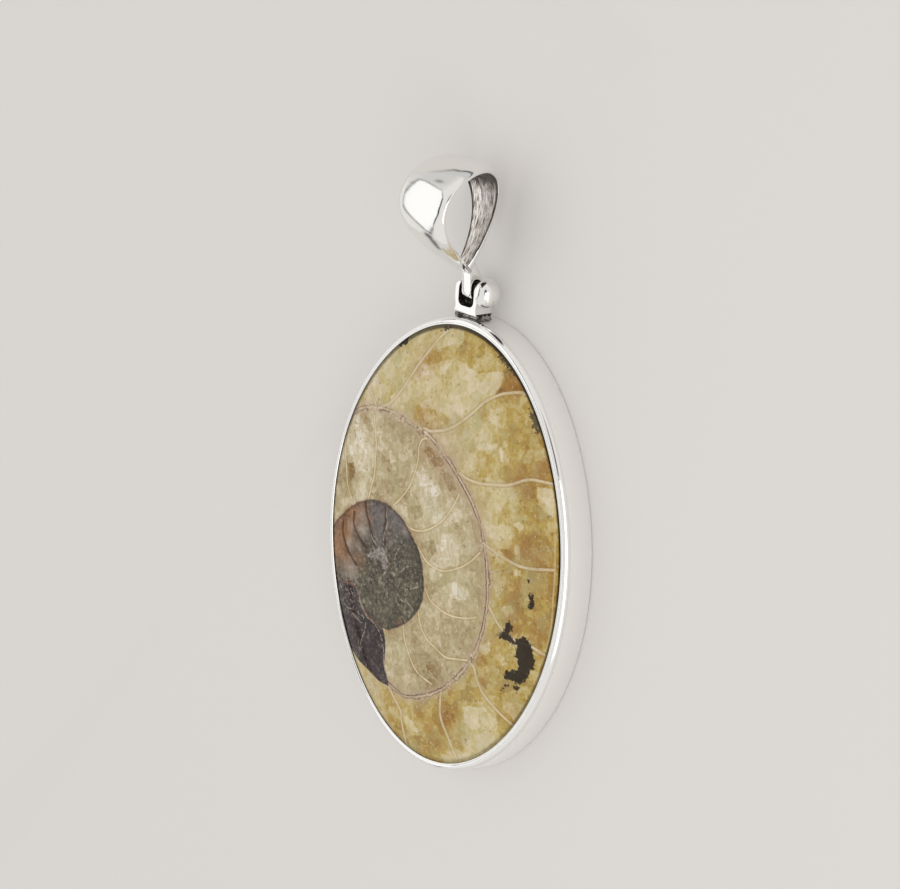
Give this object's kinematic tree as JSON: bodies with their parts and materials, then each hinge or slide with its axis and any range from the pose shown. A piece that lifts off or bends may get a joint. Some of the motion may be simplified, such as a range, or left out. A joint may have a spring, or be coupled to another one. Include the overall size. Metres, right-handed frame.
{
  "type": "ammonite fossil pendant",
  "caption": "Polished oval ammonite fossil cabochon in a plain silver pendant setting with a hinged, drop-shaped bail for a chain.",
  "frame": {"origin": "middle of the flat back of the setting, on the surface that the pendant lies on", "axes": "+Z out of the stone's polished face, +Y along the stone towards the bail, +X across the stone and along the hinge pin towards its domed head"},
  "size_m": [0.032, 0.0565, 0.0096],
  "materials": {
    "fossil_stone": "polished honey-coloured calcite with a dark centre",
    "polished_silver": "mirror-polished silver",
    "satin_silver": "fine satin silver sheet",
    "bail_silver": "mirror-polished silver, darkened inside"
  },
  "bodies": {
    "setting": {"ammonite": "fossil_stone", "bezel": "polished_silver", "back_plate": "satin_silver", "hinge_mount": "polished_silver", "hinge_pin": "polished_silver"},
    "bail": {"bail": "bail_silver"}
  },
  "joints": [
    {"name": "bail_swing", "type": "hinge", "parent": "setting", "child": "bail", "pos_m": [0, 0.0233, 0.002], "axis": [1, 0, 0], "range_deg": [-130, 100]}
  ]
}
